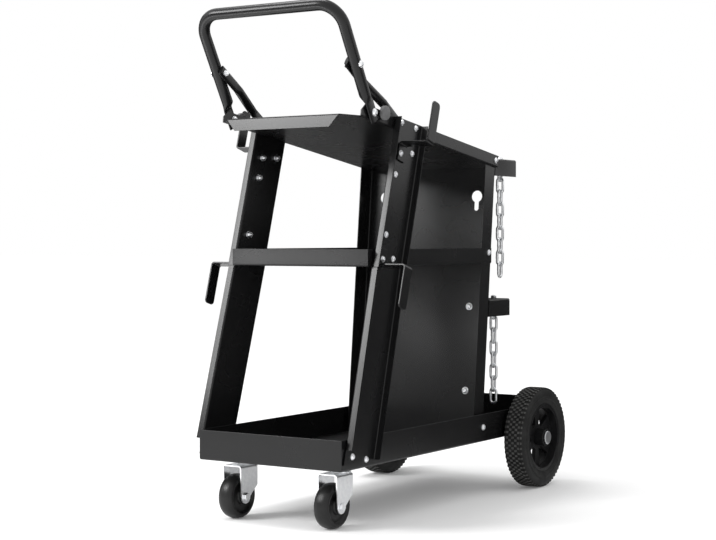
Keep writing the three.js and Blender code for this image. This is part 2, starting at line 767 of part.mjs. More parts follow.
for (const [name, side] of sides) {
  const x = (side * casterTrack) / 2;
  const reach = casterPlate / 2;
  const plate = box(x - reach, x + reach, casterPivotY - reach, casterPivotY + reach, plateLow, plateTop);
  const race = rodZ(raceRadius, raceLow, plateLow + 1, x, casterPivotY, 24);
  const pinHole = rodZ(pinRadius + gap, 0, cutter, x, casterPivotY, 16);
  keep(`${name}_caster_plate`, zinc, union(plate, race).subtract(solid(pinHole)));

  const legRear = casterPivotY + forkBack;
  const legShape = new THREE.Shape();
  legShape.moveTo(casterAxleY - 1.2 * forkEnd, bridgeTop);
  legShape.lineTo(casterAxleY - forkEnd, casterRadius);
  legShape.absarc(casterAxleY, casterRadius, forkEnd, Math.PI, 2 * Math.PI, false);
  legShape.lineTo(legRear, casterRadius + 1.4 * forkEnd);
  legShape.lineTo(legRear, bridgeTop);
  const strip = alongY(channelShape(legOuter, bridgeTop, forkSheet, 2 * forkSheet), 0, 2 * casterPivotY);
  strip.rotateY(Math.PI).translate(x, 0, bridgeTop);
  const outline = alongX(legShape, x - 2 * legOuter, x + 2 * legOuter, 5);
  const crown = rodZ(raceRadius + crownEdge, bridgeTop - 1, crownTop, x, casterPivotY, 24);
  const inFront = box(x - cutter, x + cutter, legRear, cutter, 0, cutter);
  const crownCut = solid(crown).subtract(solid(inFront));
  const pin = rodZ(pinRadius, bridgeTop - 1, plateTop - gap, x, casterPivotY, 16);
  const boltHole = rodX(pinRadius + gap, -cutter, cutter, casterAxleY, casterRadius, 16);
  const fork = solid(strip).intersect(solid(outline)).add(crownCut).add(solid(pin));
  keep(`${name}_caster_fork`, zinc, fork.subtract(solid(boltHole)));

  const wide = casterWidth / 2;
  const ringInner = casterRadius - casterRubber;
  const nearSide = [
    [pinRadius + gap, -wide],
    [casterHub, -wide],
    [casterHub + casterDish, -wide * 0.7],
    [ringInner - casterRound, -wide * 0.7],
    [ringInner, -wide],
    [casterRadius - casterRound, -wide * 0.8],
    [casterRadius, -wide * 0.3],
  ];
  const farSide = nearSide.map(([radius, offset]) => [radius, -offset]).reverse();
  const wheel = revolve([...nearSide, ...farSide], 24);
  keep(`${name}_caster_wheel`, rubber, solid(wheel.translate(x, casterAxleY, casterRadius)));

  const boltEnd = legOuter + gap;
  const bolt = rodX(pinRadius, x - boltEnd - 1, x + boltEnd + 1, casterAxleY, casterRadius, 16);
  const heads = sides.map(([, edge]) => {
    const [h0, h1] = onSide(edge, boltEnd, boltEnd + pinRadius);
    return rodX(1.75 * pinRadius, x + h0, x + h1, casterAxleY, casterRadius, 6);
  });
  keep(`${name}_caster_bolt`, zinc, union(bolt, ...heads));
}

// The origin lies on the floor under the middle of the cart.
const middle = new THREE.Box3().setFromObject(group).getCenter(new THREE.Vector3());
for (const mesh of group.children) {
  mesh.geometry.translate(0, -middle.y, 0);
}

export default group;
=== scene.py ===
"""Looks of a three-tier welding cart: black powder coat, zinc hardware and black rubber wheels.

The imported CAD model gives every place. Blender works in metres, and a size in millimetres is multiplied by MM or
goes through draw(), which measures from the middle of the bottom tray's front edge, on the floor.
"""
import math

import bmesh
import bpy
from mathutils import Matrix, Vector

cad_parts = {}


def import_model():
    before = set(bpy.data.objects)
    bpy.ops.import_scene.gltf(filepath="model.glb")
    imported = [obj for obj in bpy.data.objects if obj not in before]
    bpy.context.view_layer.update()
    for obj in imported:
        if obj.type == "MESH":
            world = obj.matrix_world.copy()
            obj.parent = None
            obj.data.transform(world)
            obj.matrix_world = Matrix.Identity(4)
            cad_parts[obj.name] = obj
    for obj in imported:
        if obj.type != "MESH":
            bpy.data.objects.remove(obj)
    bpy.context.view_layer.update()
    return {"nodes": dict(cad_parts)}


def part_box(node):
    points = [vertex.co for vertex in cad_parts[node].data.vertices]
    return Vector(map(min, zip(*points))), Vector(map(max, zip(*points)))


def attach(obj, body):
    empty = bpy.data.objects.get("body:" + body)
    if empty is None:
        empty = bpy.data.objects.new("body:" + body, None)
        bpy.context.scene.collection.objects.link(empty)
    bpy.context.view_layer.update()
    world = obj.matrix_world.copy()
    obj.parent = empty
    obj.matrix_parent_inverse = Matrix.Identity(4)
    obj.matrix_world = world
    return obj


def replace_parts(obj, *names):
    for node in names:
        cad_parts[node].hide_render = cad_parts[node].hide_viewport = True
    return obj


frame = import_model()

NODES = frame["nodes"]
MM = 0.001
X_AXIS = Vector((1, 0, 0))
Y_AXIS = Vector((0, 1, 0))
Z_AXIS = Vector((0, 0, 1))
SIDES = (("left", -1), ("right", 1))
TRAY_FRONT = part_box("bottom_tray")[0].y


def draw(x, y, z):
    """A point given in millimetres from the tray's front edge, in the row frame."""
    return Vector((x * MM, TRAY_FRONT + y * MM, z * MM))


def extent(node):
    """Centre and size of a CAD node's box."""
    low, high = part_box(node)
    return (low + high) / 2, high - low


def smooth(value, low, high):
    """An eased step from 0 at low to 1 at high."""
    t = min(1.0, max(0.0, (value - low) / (high - low)))
    return t * t * (3 - 2 * t)


def mix(start, end, share):
    return start + (end - start) * share


# Materials

NOISE_LOW, NOISE_HIGH = 0.3, 0.7
RAMP_START, RAMP_END = 0.35, 0.65
LEVEL_START, LEVEL_END = 0.8, 0.97


class Shader:
    """A Principled material with helpers for procedural detail in object coordinates."""

    def __init__(self, name, constants):
        self.material = bpy.data.materials.new(name)
        self.material.use_nodes = True
        tree = self.material.node_tree
        self.nodes = tree.nodes
        self.links = tree.links
        self.bsdf = self.nodes["Principled BSDF"]
        self.place = self.nodes.new("ShaderNodeTexCoord").outputs["Object"]
        for socket, value in constants.items():
            self.bsdf.inputs[socket].default_value = value

    def noise(self, scale, detail=3):
        node = self.nodes.new("ShaderNodeTexNoise")
        node.inputs["Scale"].default_value = scale
        node.inputs["Detail"].default_value = detail
        self.links.new(self.place, node.inputs["Vector"])
        return node.outputs["Fac"]

    def span(self, source, low, high):
        """Stretches the middle of a noise between two values."""
        node = self.nodes.new("ShaderNodeMapRange")
        node.inputs["From Min"].default_value = NOISE_LOW
        node.inputs["From Max"].default_value = NOISE_HIGH
        node.inputs["To Min"].default_value = low
        node.inputs["To Max"].default_value = high
        self.links.new(source, node.inputs["Value"])
        return node.outputs["Result"]

    def where_up(self, plain, level):
        """The first value on walls and undersides, the second on surfaces that face up."""
        geometry = self.nodes.new("ShaderNodeNewGeometry")
        split = self.nodes.new("ShaderNodeSeparateXYZ")
        self.links.new(geometry.outputs["Normal"], split.inputs["Vector"])
        share = self.nodes.new("ShaderNodeMapRange")
        share.inputs["From Min"].default_value = LEVEL_START
        share.inputs["From Max"].default_value = LEVEL_END
        self.links.new(split.outputs["Z"], share.inputs["Value"])
        node = self.nodes.new("ShaderNodeMix")
        self.links.new(share.outputs["Result"], node.inputs[0])
        self.links.new(plain, node.inputs[2])
        self.links.new(level, node.inputs[3])
        return node.outputs[0]

    def colour(self, scale, low, high):
        """A base colour that drifts between two shades."""
        node = self.nodes.new("ShaderNodeValToRGB")
        first, last = node.color_ramp.elements
        first.position = RAMP_START
        last.position = RAMP_END
        first.color = (*low, 1)
        last.color = (*high, 1)
        self.links.new(self.noise(scale), node.inputs["Fac"])
        self.links.new(node.outputs["Color"], self.bsdf.inputs["Base Color"])

    def roughness(self, source):
        self.links.new(source, self.bsdf.inputs["Roughness"])

    def bump(self, scale, strength, distance, detail=2):
        node = self.nodes.new("ShaderNodeBump")
        node.inputs["Strength"].default_value = strength
        node.inputs["Distance"].default_value = distance
        self.links.new(self.noise(scale, detail), node.inputs["Height"])
        self.links.new(node.outputs["Normal"], self.bsdf.inputs["Normal"])


def powder_coat():
    """Semi-gloss black powder coat with a fine orange peel, scuffed duller where things stand on it."""
    shader = Shader("powder_coat", {"Specular IOR Level": 0.35})
    shader.colour(9, (0.0050, 0.0050, 0.0054), (0.0070, 0.0070, 0.0074))
    clean = shader.span(shader.noise(9), 0.26, 0.28)
    scuffed = shader.span(shader.noise(140, 4), 0.50, 0.57)
    shader.roughness(shader.where_up(clean, scuffed))
    shader.bump(600, 0.003, 0.0002, detail=1)
    return shader.material


def mottled(name, constants, colour, roughness, bump):
    """A finish from three noises: colour and roughness as scale, low, high; bump as scale, strength, distance."""
    shader = Shader(name, constants)
    shader.colour(*colour)
    scale, low, high = roughness
    shader.roughness(shader.span(shader.noise(scale), low, high))
    shader.bump(*bump)
    return shader.material


COAT = powder_coat()

# Bright zinc plate
ZINC = mottled(
    "zinc_plate", {"Metallic": 1.0},
    colour=(160, (0.86, 0.87, 0.89), (0.94, 0.95, 0.96)),
    roughness=(200, 0.28, 0.34),
    bump=(900, 0.02, 0.0002),
)

# Matt black rubber with a dry, slightly dusty bloom
TYRE = mottled(
    "tyre_rubber", {"Specular IOR Level": 0.18},
    colour=(30, (0.015, 0.015, 0.015), (0.024, 0.024, 0.0235)),
    roughness=(70, 0.52, 0.72),
    bump=(1500, 0.2, 0.0003),
)

# Painted highlight: a greyer, duller rubber on the tread studs' tops that stands in for the light they catch
STUD_HIGHLIGHT = mottled(
    "stud_highlight_rubber", {"Specular IOR Level": 0.2},
    colour=(45, (0.070, 0.070, 0.068), (0.100, 0.100, 0.097)),
    roughness=(90, 0.6, 0.8),
    bump=(1500, 0.25, 0.0003),
)

# Smooth black rubber with a satin shine
CASTER = mottled(
    "caster_rubber", {"Specular IOR Level": 0.3},
    colour=(40, (0.006, 0.006, 0.006), (0.010, 0.010, 0.010)),
    roughness=(90, 0.32, 0.42),
    bump=(1300, 0.1, 0.0002),
)

# Moulded black plastic with a fine grain
HUB = mottled(
    "hub_plastic", {"Specular IOR Level": 0.18},
    colour=(25, (0.007, 0.007, 0.0075), (0.011, 0.011, 0.0115)),
    roughness=(120, 0.38, 0.5),
    bump=(2200, 0.15, 0.0002),
)

# Dull grey moulded plastic
KNOB = mottled(
    "knob_plastic", {"Specular IOR Level": 0.3},
    colour=(60, (0.12, 0.12, 0.122), (0.15, 0.15, 0.152)),
    roughness=(150, 0.42, 0.55),
    bump=(1800, 0.1, 0.0002),
)


# Mesh building

PLAIN_EDGE = 38
CRISP_EDGE = 30
ROUND_EDGE = 40
SOFT_EDGE = 60
HEX_STEP = math.pi / 3


def make(name, builder, material, body, sharp=PLAIN_EDGE):
    """A finished piece: one mesh in the row frame that rides on a body, smooth up to an angle in degrees."""
    builder.normal_update()
    mesh = bpy.data.meshes.new(name)
    builder.to_mesh(mesh)
    builder.free()
    mesh.shade_smooth()
    mesh.set_sharp_from_angle(angle=math.radians(sharp))
    mesh.materials.append(material)
    piece = bpy.data.objects.new(name, mesh)
    bpy.context.scene.collection.objects.link(piece)
    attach(piece, body)
    return piece


def skin(builder, rings, closed):
    """Joins rings of equal length with quads, and caps the ends unless the rings close."""
    pairs = list(zip(rings, rings[1:]))
    if closed:
        pairs.append((rings[-1], rings[0]))
    faces = []
    for here, there in pairs:
        count = len(here)
        faces.append([
            builder.faces.new((here[k], here[(k + 1) % count], there[(k + 1) % count], there[k]))
            for k in range(count)
        ])
    if not closed:
        builder.faces.new(rings[0][::-1])
        builder.faces.new(rings[-1])
    return faces


def turn(builder, profile, segments, matrix, closed=False):
    """Revolves (radius, height) pairs about matrix's Z axis. A third value makes that ring a hexagon."""
    rings = []
    for radius, height, *hexagon in profile:
        ring = []
        for k in range(segments):
            angle = math.tau * k / segments
            reach = radius
            if hexagon:
                reach *= math.cos(HEX_STEP / 2) / math.cos(angle % HEX_STEP - HEX_STEP / 2)
            local = Vector((reach * math.cos(angle), reach * math.sin(angle), height))
            ring.append(builder.verts.new(matrix @ local))
        rings.append(ring)
    return skin(builder, rings, closed)


def along(point, axis):
    """A matrix that stands the Z axis on a point, along an axis."""
    return Matrix.Translation(point) @ Z_AXIS.rotation_difference(axis).to_matrix().to_4x4()


def loft(builder, stations, sides, closed=False):
    """Sweeps an ellipse. A station is a centre, two axes and the two half sizes."""
    rings = []
    for centre, across, out, half_across, half_out in stations:
        ring = []
        for k in range(sides):
            angle = math.tau * k / sides
            point = centre + across * (half_across * math.cos(angle)) + out * (half_out * math.sin(angle))
            ring.append(builder.verts.new(point))
        rings.append(ring)
    skin(builder, rings, closed)


# Sheet metal, casters' steel and hubs: the CAD nodes themselves, with softened edges

WELD_REACH = 1e-6
FLAT_ANGLE = math.radians(0.5)
EDGE_ANGLE = math.radians(32)
EDGE_SEGMENTS = 2


def dress(node, material, width):
    """Gives a CAD node its material and softens its folded and cut edges by a width in millimetres."""
    shown = NODES[node]
    shown.data.materials.clear()
    shown.data.materials.append(material)
    for name in ("custom_normal", "sharp_edge", "sharp_face"):
        attribute = shown.data.attributes.get(name)
        if attribute:
            shown.data.attributes.remove(attribute)
    weld = shown.modifiers.new("weld", "WELD")
    weld.merge_threshold = WELD_REACH
    flat = shown.modifiers.new("flat", "DECIMATE")
    flat.decimate_type = "DISSOLVE"
    flat.angle_limit = FLAT_ANGLE
    edge = shown.modifiers.new("edge", "BEVEL")
    edge.width = width * MM
    edge.segments = EDGE_SEGMENTS
    edge.limit_method = "ANGLE"
    edge.angle_limit = EDGE_ANGLE
    edge.harden_normals = False
    shade = shown.modifiers.new("shade", "WEIGHTED_NORMAL")
    shade.keep_sharp = False


for node in ("bottom_tray", "rear_panel", "middle_shelf", "top_tray", "upper_tank_bracket", "lower_tank_bracket"):
    dress(node, COAT, 0.7)
for side, _ in SIDES:
    for part in ("lower_post", "upper_post", "upper_hook", "lower_hook", "axle_lug"):
        dress(f"{side}_{part}", COAT, 0.7)
    dress(f"{side}_caster_plate", ZINC, 0.5)
    dress(f"{side}_caster_fork", ZINC, 0.5)
    dress(f"{side}_caster_bolt", ZINC, 0.6)
    dress(f"{side}_rear_hub", HUB, 0.8)
dress("rear_axle", ZINC, 1.0)


# Handle and struts, in millimetres: feet are (along the cart, up), and X is to the side

GAP = 0.3
SHEET = 1.6
FOOT_HALF = 3.2
FOOT_SPREAD = 1.2
TRAY_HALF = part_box("top_tray")[1].x / MM
FOOT_X = TRAY_HALF + GAP + FOOT_HALF
HANDLE_RADIUS = 10
TUBE_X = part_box("handle_tube")[1].x / MM - HANDLE_RADIUS
HANDLE_FOOT = (101.5, 688)
HANDLE_LEAN = math.radians(29.7)
HANDLE_LENGTH = 215
HANDLE_BEND = 40
HANDLE_FLAT = 34
HANDLE_SIDES = 32
BEND_STEPS = 14
TAPER = 16
TAPER_STEPS = 8
STRUT_RADIUS = 8
STRUT_FOOT = (187, 693)
STRUT_REACH = 104.8
STRUT_END = 10
STRUT_FLAT = 48
STRUT_SIDES = 28
STRUT_FOOT_X = TRAY_HALF - SHEET - GAP - FOOT_HALF
STRUT_TOP_X = TUBE_X - HANDLE_RADIUS - GAP - FOOT_HALF
LEG_UP = Vector((0, -math.sin(HANDLE_LEAN), math.cos(HANDLE_LEAN)))
LEG_OUT = Vector((0, math.cos(HANDLE_LEAN), math.sin(HANDLE_LEAN)))
STRUT_TOP = (
    HANDLE_FOOT[0] - STRUT_REACH * math.sin(HANDLE_LEAN),
    HANDLE_FOOT[1] + STRUT_REACH * math.cos(HANDLE_LEAN),
)


def tube_section(roundness, radius):
    """Half sizes of a tube between its flattened end (0) and its full round (1)."""
    return mix(FOOT_HALF, radius, roundness) * MM, mix(FOOT_SPREAD * radius, radius, roundness) * MM


def taper_steps(start):
    """Lengths along a tube at which its flattened end opens into the round."""
    return [start + TAPER * k / TAPER_STEPS for k in range(TAPER_STEPS + 1)]


def leg_point(x, s):
    """A point at a length up the handle's leg."""
    return draw(x, *HANDLE_FOOT) + LEG_UP * (s * MM)


def handle_half(sign):
    """Stations from a flattened foot, up one leg and round the bend to the grip bar."""
    straight = HANDLE_LENGTH - HANDLE_BEND
    stations = []
    for s in [0, *taper_steps(HANDLE_FLAT), straight]:
        roundness = smooth(s, HANDLE_FLAT, HANDLE_FLAT + TAPER)
        centre = leg_point(sign * mix(FOOT_X, TUBE_X, roundness), s)
        stations.append((centre, X_AXIS * -sign, LEG_OUT, *tube_section(roundness, HANDLE_RADIUS)))
    for k in range(1, BEND_STEPS + 1):
        angle = math.pi / 2 * k / BEND_STEPS
        centre = leg_point(
            sign * (TUBE_X - HANDLE_BEND + HANDLE_BEND * math.cos(angle)),
            straight + HANDLE_BEND * math.sin(angle),
        )
        inward = X_AXIS * (-sign * math.cos(angle)) - LEG_UP * math.sin(angle)
        stations.append((centre, inward, LEG_OUT, HANDLE_RADIUS * MM, HANDLE_RADIUS * MM))
    return stations


def handle():
    """The whole handle: one half, then the other from its bend back down."""
    builder = bmesh.new()
    loft(builder, handle_half(-1) + handle_half(1)[::-1], HANDLE_SIDES)
    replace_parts(make("handle", builder, COAT, "frame"), "handle_tube")


def strut(side, sign):
    """A tube with both ends flattened, from inside the rail to inside the handle's leg."""
    foot = draw(0, *STRUT_FOOT)
    top = draw(0, *STRUT_TOP)
    up = (top - foot).normalized()
    out = up.cross(X_AXIS)
    length = (top - foot).length / MM + 2 * STRUT_END
    rise = taper_steps(STRUT_FLAT)
    stations = []
    for s in [0, *rise, *(length - s for s in reversed(rise)), length]:
        roundness = smooth(min(s, length - s), STRUT_FLAT, STRUT_FLAT + TAPER)
        centre = foot + up * ((s - STRUT_END) * MM)
        centre.x = sign * MM * mix(STRUT_FOOT_X, STRUT_TOP_X, smooth(s, STRUT_FLAT, length - STRUT_FLAT))
        stations.append((centre, X_AXIS, out, *tube_section(roundness, STRUT_RADIUS)))
    builder = bmesh.new()
    loft(builder, stations, STRUT_SIDES)
    piece = make(f"{side}_strut", builder, COAT, "frame")
    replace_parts(piece, f"{side}_handle_brace")


handle()
for side, sign in SIDES:
    strut(side, sign)


# Chains

CHAIN_LINKS = (("upper", 9), ("lower", 8))
WIRE_HALF = 2.5 * MM
LINK_BEND = 6.2 * MM
LINK_STEPS = 12
WIRE_SIDES = 14
WELD_BEAD = ((0.35, 1.0), (0.45, 1.12), (0.5, 1.16), (0.55, 1.12), (0.65, 1.0))
EYE_RADIUS = 6 * MM
EYE_STEPS = 32
SHANK_RADIUS = 3 * MM
SHANK_TIP = 0.5 * MM
SHANK_SIDES = 20
EYE_NUT_DROP = 6 * MM
EYE_NUT = (
    (5.2 * MM, 0), (6 * MM, 0.6 * MM, "hexagon"), (6 * MM, 4.2 * MM, "hexagon"), (5.2 * MM, 4.8 * MM),
)
NUT_SIDES = 24


def chain_link(node):
    """A welded link: two round ends and two straight sides, with a slight weld bead on one side."""
    centre, size = extent(node)
    flat = X_AXIS if size.x > size.y else Y_AXIS
    cross = Y_AXIS if size.x > size.y else -X_AXIS
    straight = size.z / 2 - WIRE_HALF - LINK_BEND
    stations = []
    for end in (1, -1):
        for k in range(LINK_STEPS + 1):
            angle = math.pi * k / LINK_STEPS + (0 if end > 0 else math.pi)
            outward = flat * math.cos(angle) + Z_AXIS * math.sin(angle)
            place = centre + Z_AXIS * (end * straight) + outward * LINK_BEND
            stations.append((place, outward, cross, WIRE_HALF, WIRE_HALF))
        if end > 0:
            for share, swell in WELD_BEAD:
                place = centre - flat * LINK_BEND + Z_AXIS * (straight * (1 - 2 * share))
                stations.append((place, -flat, cross, WIRE_HALF * swell, WIRE_HALF * swell))
    builder = bmesh.new()
    loft(builder, stations, WIRE_SIDES, closed=True)
    return builder


def chain_eye(node):
    """Eye bolt: a ring, its shank through the plate, and a hexagon nut on top."""
    low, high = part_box(node)
    centre = (low + high) / 2
    ring_z = low.z + EYE_RADIUS + WIRE_HALF
    builder = bmesh.new()
    stations = []
    for k in range(EYE_STEPS):
        angle = math.tau * k / EYE_STEPS
        outward = X_AXIS * math.cos(angle) + Z_AXIS * math.sin(angle)
        place = Vector((centre.x, centre.y, ring_z)) + outward * EYE_RADIUS
        stations.append((place, outward, Y_AXIS, WIRE_HALF, WIRE_HALF))
    loft(builder, stations, WIRE_SIDES, closed=True)
    foot = Matrix.Translation((centre.x, centre.y, ring_z + EYE_RADIUS))
    top = high.z - ring_z - EYE_RADIUS
    shank = ((SHANK_RADIUS, 0), (SHANK_RADIUS, top - SHANK_TIP), (SHANK_RADIUS - SHANK_TIP, top))
    turn(builder, shank, SHANK_SIDES, foot)
    nut = Matrix.Translation((centre.x, centre.y, high.z - EYE_NUT_DROP))
    turn(builder, EYE_NUT, NUT_SIDES, nut)
    return builder


for level, links in CHAIN_LINKS:
    eye = make(f"{level}_eye_bolt", chain_eye(f"{level}_chain_eye"), ZINC, "frame")
    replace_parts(eye, f"{level}_chain_eye")
    for number in range(1, links + 1):
        node = f"{level}_chain_link_{number}"
        body = f"{level}_link_{number}"
        link = make(f"{level}_steel_link_{number}", chain_link(node), ZINC, body, SOFT_EDGE)
        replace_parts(link, node)


# Rear wheels

TYRE_INNER = 67.3 * MM
TREAD_STEPS = 120
TREAD_DEPTH = 2.0 * MM
TREAD_CROWN = 0.6 * MM
TREAD_ROWS = (-0.66, -0.40, -0.14, 0.14, 0.40, 0.66)
STUD_RISE = 0.97 * TREAD_DEPTH
STUD_TAPER = 0.55 * MM


def tyre(node):
    """Solid tyre with rows of staggered tread studs and a raised ring on each sidewall."""
    centre, size = extent(node)
    outer = size.z / 2
    half = size.x / 2
    base = outer - TREAD_DEPTH
    inner = TYRE_INNER
    profile = [
        (inner, -0.85 * half), (inner + 3 * MM, -0.93 * half), (inner + 8 * MM, -0.95 * half),
        (inner + 9 * MM, -1.0 * half), (inner + 12 * MM, -1.0 * half), (inner + 13 * MM, -0.95 * half),
        (outer - 12 * MM, -0.97 * half), (base - 5 * MM, -0.94 * half), (base - 1.5 * MM, -0.82 * half),
    ]
    tread_start = len(profile)
    profile += [(base - TREAD_CROWN * abs(row) ** 3, row * half) for row in TREAD_ROWS]
    profile += [(radius, -offset) for radius, offset in reversed(profile[:tread_start])]
    builder = bmesh.new()
    faces = turn(builder, profile, TREAD_STEPS, along(centre, X_AXIS), closed=True)
    raised = []
    for row in range(len(TREAD_ROWS) - 1):
        ring = faces[tread_start + row]
        raised += [face for k, face in enumerate(ring) if (k + row) % 2 == 0]
    for row in (tread_start - 1, tread_start + len(TREAD_ROWS) - 1):
        raised += [face for k, face in enumerate(faces[row]) if k % 2 == 0]
    bmesh.ops.recalc_face_normals(builder, faces=builder.faces[:])
    bmesh.ops.inset_individual(builder, faces=raised, thickness=STUD_TAPER, depth=STUD_RISE)
    # The stud tops take the second slot, the rubber with the painted highlight
    for face in raised:
        face.material_index = 1
    return builder


for side, _ in SIDES:
    node = f"{side}_rear_tyre"
    body = f"{side}_rear_wheel"
    piece = make(f"{side}_treaded_tyre", tyre(node), TYRE, body, CRISP_EDGE)
    # The second slot holds the rubber with the painted highlight on the stud tops
    piece.data.materials.append(STUD_HIGHLIGHT)
    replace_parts(piece, node)


# Casters

CASTER_BORE = 4.3 * MM
CASTER_STEPS = 64


def caster_wheel(node):
    """Rubber wheel with a rounded tread, a recessed disc and a raised hub."""
    centre, size = extent(node)
    outer = size.z / 2
    half = size.x / 2
    one_side = [
        (CASTER_BORE, 1.0), (12 * MM, 1.0), (13.2 * MM, 0.94), (14.5 * MM, 0.66), (16 * MM, 0.62),
        (outer - 13 * MM, 0.62), (outer - 11.5 * MM, 0.68), (outer - 10 * MM, 0.92), (outer - 8.5 * MM, 0.98),
        (outer - 6 * MM, 0.97), (outer - 3.4 * MM, 0.86), (outer - 1.5 * MM, 0.66), (outer - 0.4 * MM, 0.4),
        (outer, 0.15),
    ]
    profile = [(radius, -share * half) for radius, share in one_side]
    profile += [(radius, share * half) for radius, share in reversed(one_side)]
    builder = bmesh.new()
    turn(builder, profile, CASTER_STEPS, along(centre, X_AXIS), closed=True)
    bmesh.ops.recalc_face_normals(builder, faces=builder.faces[:])
    return builder


for side, _ in SIDES:
    node = f"{side}_caster_wheel"
    piece = make(f"{side}_rubber_caster", caster_wheel(node), CASTER, node, ROUND_EDGE)
    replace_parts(piece, node)


# Fasteners, in millimetres: button heads with a hexagon socket, nuts with a bolt end, and rail knobs

BOLT_HEAD = (
    (7.0, 0), (7.0, 1.0), (6.6, 1.3), (5.5, 1.3), (5.4, 2.2), (4.9, 3.4), (3.9, 4.3), (2.8, 4.6),
    (2.6, 4.5, "hexagon"), (2.5, 2.6, "hexagon"),
)
BOLT_NUT = (
    (6.6, 0), (6.6, 0.9), (5.4, 1.0), (5.9, 1.5, "hexagon"), (5.9, 4.9, "hexagon"), (5.0, 5.5), (3.2, 5.5),
    (3.0, 8.0), (2.6, 8.4),
)
KNOB_PROFILE = (
    (5, 0), (5, 2.5), (10.5, 3), (12, 4), (12.4, 5), (12.4, 9.5), (11.6, 11), (10, 11.8), (5, 12.4), (1, 12.5),
)
FASTENER_SIDES = 24
KNOB_SIDES = 36
POST_HEAD = 0.8
WALL_HEAD = 0.85
STRUT_HEAD = 0.9
HANDLE_NUT = 0.8
CASTER_HEAD = 0.6
CASTER_NUT = 0.7
STRUT_HEAD_SINK = 0.6


def fasten(builder, profile, sides, point, axis, size=1.0):
    """Turns a profile in millimetres, scaled by a size, on a point and along an axis."""
    scale = size * MM
    scaled = [(radius * scale, height * scale, *shape) for radius, height, *shape in profile]
    turn(builder, scaled, sides, along(point, axis))


def bolt_head(builder, point, axis, size=1.0):
    fasten(builder, BOLT_HEAD, FASTENER_SIDES, point, axis, size)


def bolt_nut(builder, point, axis, size=1.0):
    fasten(builder, BOLT_NUT, FASTENER_SIDES, point, axis, size)


TRAY_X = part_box("bottom_tray")[1].x / MM
TRAY_FLOOR_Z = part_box("bottom_tray")[0].z / MM + SHEET
TRAY_RIM_Z = 156
SHELF_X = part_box("middle_shelf")[1].x / MM
SHELF_RIM_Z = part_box("middle_shelf")[1].z / MM
PANEL_LEAN = math.radians(5.5)
PANEL_FOOT_Y = 500
PANEL_FORWARD = Vector((0, -math.cos(PANEL_LEAN), math.sin(PANEL_LEAN)))


def lower_post_face(z):
    """Outer face of a lower post's web, which splays from the shelf out to the wider tray."""
    share = (SHELF_RIM_Z - z) / (SHELF_RIM_Z - TRAY_RIM_Z)
    return mix(SHELF_X, TRAY_X, share) + GAP + SHEET


def panel_face(z):
    """Front face of the leaning panel, along the cart."""
    rear = PANEL_FOOT_Y + (z - TRAY_FLOOR_Z - GAP) * math.tan(PANEL_LEAN)
    return rear - SHEET / math.cos(PANEL_LEAN)


HOOK_THICKNESS = 3
POST_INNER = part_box("right_upper_post")[0].x / MM
POST_OUTER = POST_INNER + SHEET
HOOK_OUTER = POST_OUTER + GAP + HOOK_THICKNESS
POST_BOLTS = (
    (HOOK_OUTER, 183, 637), (POST_OUTER, 226, 638), (POST_OUTER, 171, 600), (POST_OUTER, 140, 496),
    (HOOK_OUTER, 124, 454), (POST_OUTER, 163, 454), (POST_OUTER, 192, 691), (POST_OUTER, 239, 683),
    (lower_post_face(127), 29, 127), (lower_post_face(118), 71, 118),
)
INNER_NUTS = ((183, 637), (226, 638), (171, 600), (140, 496))
WALL_BOLTS = ((SHELF_X, 520, 462), (TRAY_HALF, 543, 639), (TRAY_X, 488, 131))
PANEL_BOLTS = ((99, 358), (99, 197))
LEG_BOLT = (95, 702)
RAIL_KNOB = (128, 703)
CASTER_HOLE = 19
CASTER_SHEET = 2.5


def bolts(side, sign):
    """All the fasteners of one side, in a few pieces."""
    outward = X_AXIS * sign
    builder = bmesh.new()
    for x, y, z in POST_BOLTS:
        bolt_head(builder, draw(sign * x, y, z), outward, POST_HEAD)
    for y, z in INNER_NUTS:
        bolt_nut(builder, draw(sign * POST_INNER, y, z), -outward)
    make(f"{side}_post_bolts", builder, ZINC, "frame", CRISP_EDGE)

    builder = bmesh.new()
    for x, y, z in WALL_BOLTS:
        bolt_head(builder, draw(sign * x, y, z), outward, WALL_HEAD)
    for x, z in PANEL_BOLTS:
        bolt_head(builder, draw(sign * x, panel_face(z), z), PANEL_FORWARD)
    make(f"{side}_panel_bolts", builder, ZINC, "frame", CRISP_EDGE)

    builder = bmesh.new()
    strut_head_x = TUBE_X + HANDLE_RADIUS - STRUT_HEAD_SINK
    bolt_head(builder, draw(sign * (FOOT_X + FOOT_HALF), *LEG_BOLT), outward)
    bolt_nut(builder, draw(sign * (TRAY_HALF - SHEET), *LEG_BOLT), -outward, HANDLE_NUT)
    bolt_nut(builder, draw(sign * (STRUT_FOOT_X - FOOT_HALF), *STRUT_FOOT), -outward, HANDLE_NUT)
    bolt_head(builder, draw(sign * strut_head_x, *STRUT_TOP), outward, STRUT_HEAD)
    bolt_nut(builder, draw(sign * (STRUT_TOP_X - FOOT_HALF), *STRUT_TOP), -outward, HANDLE_NUT)
    make(f"{side}_handle_bolts", builder, ZINC, "frame", CRISP_EDGE)

    builder = bmesh.new()
    fasten(builder, KNOB_PROFILE, KNOB_SIDES, draw(sign * TRAY_HALF, *RAIL_KNOB), outward)
    make(f"{side}_rail_knob", builder, KNOB, "frame", ROUND_EDGE)

    builder = bmesh.new()
    plate, _ = extent(f"{side}_caster_plate")
    plate_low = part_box(f"{side}_caster_plate")[1].z - CASTER_SHEET * MM
    for across in (-1, 1):
        for ahead in (-1, 1):
            spot = plate + Vector((across, ahead, 0)) * (CASTER_HOLE * MM)
            bolt_head(builder, Vector((spot.x, spot.y, plate_low)), -Z_AXIS, CASTER_HEAD)
            bolt_nut(builder, Vector((spot.x, spot.y, TRAY_FLOOR_Z * MM)), Z_AXIS, CASTER_NUT)
    make(f"{side}_caster_bolts", builder, ZINC, "frame", CRISP_EDGE)


for side, sign in SIDES:
    bolts(side, sign)


# Stage, in metres: white floor and background, soft studio lights, the photograph's camera

